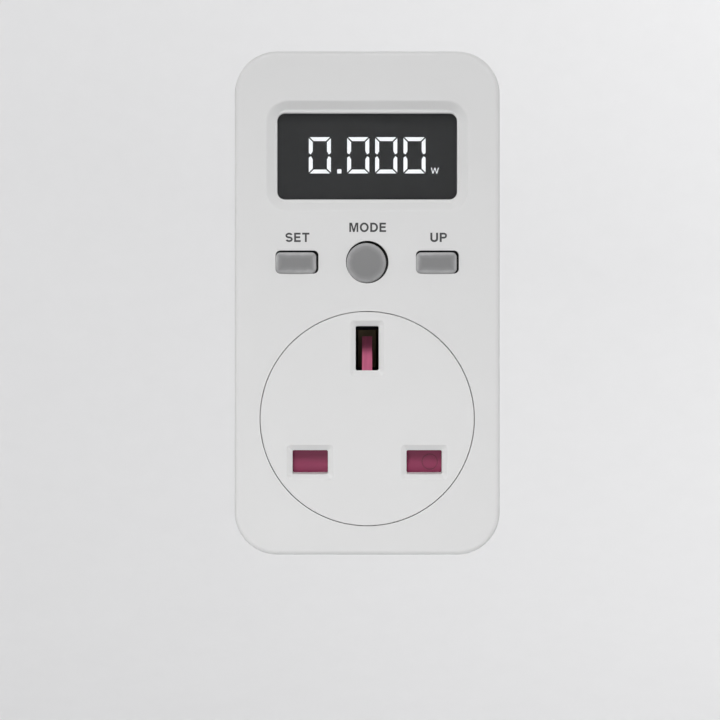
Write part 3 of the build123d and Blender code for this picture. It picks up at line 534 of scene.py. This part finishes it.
def glyph(letter):
    """A plain bold capital, one unit tall: its width, its outlines and its (outer, inner) rings."""
    if letter == "E":
        width = 0.74
        outlines = [box_outline(0, 0, STEM, 1)]
        for z, reach in ((0, width), (0.42, 0.68), (1 - ARM, 0.72)):
            outlines.append(box_outline(STEM, z, reach, z + ARM))
        return width, outlines, []
    if letter == "T":
        width = 0.82
        left = (width - STEM) / 2
        upright = box_outline(left, 0, left + STEM, 1 - ARM)
        return width, [box_outline(0, 1 - ARM, width, 1), upright], []
    if letter == "M":
        width = 1.0
        half = [(0, 0), (0, 1), (0.29, 1), (0.5, 0.33)]
        inner = [(0.59, 0), (0.41, 0), (0.19, 0.76), (0.19, 0)]
        return width, [half + [(0.71, 1), (1, 1), (1, 0), (0.81, 0), (0.81, 0.76)] + inner], []
    if letter == "W":
        top = [(0, 1), (0.13, 1), (0.33, 0.22), (0.56, 1), (0.7, 1), (0.93, 0.22), (1.13, 1), (1.26, 1)]
        return 1.26, [top + [(1.0, 0), (0.87, 0), (0.63, 0.78), (0.39, 0), (0.26, 0)]], []
    if letter == "U":
        width, bend = 0.82, 0.34
        low = arc(width / 2, bend, width / 2 - STEM / 2, bend - ARM / 2, 180, 360, 16)
        return width, [band([(STEM / 2, 1)] + low + [(width - STEM / 2, 1)], STEM)], []
    if letter == "P":
        width, low = 0.78, 0.37
        mid = (1 + low) / 2
        bowl = arc(width - 0.32, mid, 0.32 - STEM / 2, (1 - low) / 2 - ARM / 2, 90, -90, 14)
        path = [(STEM, 1 - ARM / 2)] + bowl + [(STEM, low + ARM / 2)]
        return width, [box_outline(0, 0, STEM, 1), band(path, ARM)], []
    if letter == "S":
        width, reach = 0.80, 0.31
        tall = (1 - ARM) / 4
        upper = arc(width / 2, 0.5 + tall, reach, tall, 18, 262, 20)
        lower = arc(width / 2, 0.5 - tall, reach, tall, 82, -162, 20)
        return width, [band(upper + lower, ARM)], []
    if letter == "O":
        outer = arc(0.5, 0.5, 0.5, 0.515, 0, 352.5, 47)
        inner = arc(0.5, 0.5, 0.5 - STEM, 0.515 - ARM, 0, 352.5, 47)
        return 1.0, [], [(outer, inner)]
    # the D is what is left
    width, turn = 0.87, 0.38
    outer_bow = arc(turn, 0.5, width - turn, 0.5, 90, -90, 24)
    inner_bow = arc(turn, 0.5, width - turn - STEM, 0.5 - ARM, 90, -90, 24)
    ring = ([(0, 1)] + outer_bow + [(0, 0)], [(STEM, 1 - ARM)] + inner_bow + [(STEM, ARM)])
    return width, [], [ring]


def lettering(name, text, centre_x, centre_z, width, height, face_y, thickness):
    """Plain printed capitals, scaled to a width and height in millimetres, on a face of constant Y."""
    outlines, rings, pen = [], [], 0.0
    for letter in text:
        advance, letter_outlines, letter_rings = glyph(letter)
        outlines += [[(x + pen, z) for x, z in shape] for shape in letter_outlines]
        rings += [tuple([(x + pen, z) for x, z in loop] for loop in pair) for pair in letter_rings]
        pen += advance + LETTER_GAP
    total = pen - LETTER_GAP

    def placed(loop):
        return [(centre_x + (x / total - 0.5) * width, centre_z + (z - 0.5) * height) for x, z in loop]

    rings = [(placed(outer), placed(inner)) for outer, inner in rings]
    return flat_piece(name, [placed(shape) for shape in outlines], face_y, thickness, rings)


def finish_piece(piece, material):
    """Give a new piece its material, body and slot."""
    piece.data.materials.append(material)
    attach(piece, "casing")


segments = []
digit_z = DISPLAY_Z / MM + DIGIT_Z
for x in DIGIT_X:
    segments += zero_segments(x, digit_z)
segments.append(square(POINT_X, digit_z - (DIGIT_H - POINT_SIZE) / 2, POINT_SIZE))
segment_y = LCD_LOW.y - SEGMENT_GAP * MM
digits = flat_piece("display_digits", segments, segment_y, SEGMENT_T)
finish_piece(digits, lit_segments("lit_segments", DIGIT_GLOW))

unit_z = DISPLAY_Z / MM + UNIT_Z
unit = lettering("display_unit", "W", UNIT_X, unit_z, UNIT_W, UNIT_H, segment_y, SEGMENT_T)
finish_piece(unit, lit_segments("lit_unit", UNIT_GLOW))

ink = moulded("legend_ink", (0.042, 0.042, 0.044), 0.5, 0.12, grain=7000.0, depth=0.006)
ink_y = FACE_Y + INK_SINK * MM
for text, x, above, width in LEGENDS:
    z = BUTTON_Z / MM + above
    legend = lettering("legend_" + text.lower(), text, x, z, width, LEGEND_H, ink_y, INK_T)
    finish_piece(legend, ink)


# ---------------------------------------------------------------- studio


def studio_bowl():
    """Pale floor that curves up into a wall all the way round."""
    flat_r = BOWL_R - BOWL_BEND
    profile = [(flat_r, FLOOR_Z)]
    for i in range(1, BEND_STEPS + 1):
        angle = math.radians(90 * i / BEND_STEPS)
        out, up = math.sin(angle), 1 - math.cos(angle)
        profile.append((flat_r + BOWL_BEND * out, FLOOR_Z + BOWL_BEND * up))
    profile.append((BOWL_R, BOWL_TOP))
    bm = bmesh.new()
    centre = bm.verts.new((0, 0, FLOOR_Z))
    rings = []
    for radius, z in profile:
        ring = []
        for k in range(TURNS):
            angle = math.tau * k / TURNS
            ring.append(bm.verts.new((radius * math.cos(angle), radius * math.sin(angle), z)))
        rings.append(ring)
    for k in range(TURNS):
        n = (k + 1) % TURNS
        bm.faces.new((centre, rings[0][k], rings[0][n]))
        for low, high in zip(rings, rings[1:]):
            bm.faces.new((low[k], high[k], high[n], low[n]))
    for face in bm.faces:
        face.smooth = True
    mesh = bpy.data.meshes.new("studio_bowl")
    bm.to_mesh(mesh)
    bm.free()
    bowl = bpy.data.objects.new("studio_bowl", mesh)
    bpy.context.collection.objects.link(bowl)
    return bowl


bowl = studio_bowl()
bowl.data.materials.append(moulded("studio_paper", (0.8, 0.8, 0.805), 0.8, 0.006, 400.0, 0.05))

world = bpy.data.worlds.new("studio")
bpy.context.scene.world = world
world.use_nodes = True
sky = world.node_tree.nodes["Background"]
sky.inputs["Color"].default_value = (1.0, 1.0, 1.0, 1)
sky.inputs["Strength"].default_value = WORLD_STRENGTH


def area_light(name, place, target, size, power, spread=180):
    """Soft square lamp aimed at a point, with its beam's full angle in degrees."""
    light = bpy.data.lights.new(name, "AREA")
    light.size = size
    light.energy = power
    light.spread = math.radians(spread)
    lamp = bpy.data.objects.new(name, light)
    lamp.location = place
    lamp.rotation_euler = (Vector(target) - Vector(place)).to_track_quat("-Z", "Y").to_euler()
    lamp.visible_camera = False
    bpy.context.collection.objects.link(lamp)


# key and low fill for the face, soft light from above, below, the sides and behind, and the wall
area_light("key", (-0.08, -0.95, 0.66), (0, -0.036, -0.212), size=0.4, power=0.918, spread=60)
area_light("fill_low", (-0.04, -0.4, -0.15), (0, -0.036, -0.01), size=0.12, power=0.036, spread=60)
area_light("top", (-0.15, -0.1, 1.0), MIDDLE, size=0.5, power=0.13, spread=60)
area_light("low", (0.0, -0.02, -0.24), MIDDLE, size=0.2, power=0.065)
area_light("side_left", (-1.0, -0.2, 0.1), MIDDLE, size=0.5, power=0.27, spread=60)
area_light("side_right", (1.0, -0.2, 0.1), MIDDLE, size=0.5, power=0.30, spread=60)
area_light("back", (0.3, 1.0, 0.8), MIDDLE, size=0.7, power=2.3)
area_light("wall", (0.7, 0.5, 0.55), (0.45, 1.7, 0.9), size=0.5, power=11.2)
area_light("wall_left", (-0.7, 0.5, 0.45), (-0.4, 1.7, 0.75), size=0.5, power=4.35)
area_light("wall_front", (0.0, -0.6, 0.8), (0.0, -1.7, 0.5), size=0.5, power=3.0)

camera_data = bpy.data.cameras.new("camera")
camera_data.sensor_width = SENSOR_WIDTH
camera_data.lens = SENSOR_WIDTH * CAMERA_DISTANCE / VIEW_WIDTH
camera_data.clip_start, camera_data.clip_end = 0.01, 10
camera = bpy.data.objects.new("camera", camera_data)
camera.location = (CAMERA_X, FACE_Y - CAMERA_DISTANCE, CAMERA_Z)
camera.rotation_euler = (math.radians(90), 0, 0)
bpy.context.collection.objects.link(camera)
bpy.context.scene.camera = camera

bpy.context.scene.view_settings.view_transform = "Standard"
bpy.context.scene.cycles.use_denoising = True
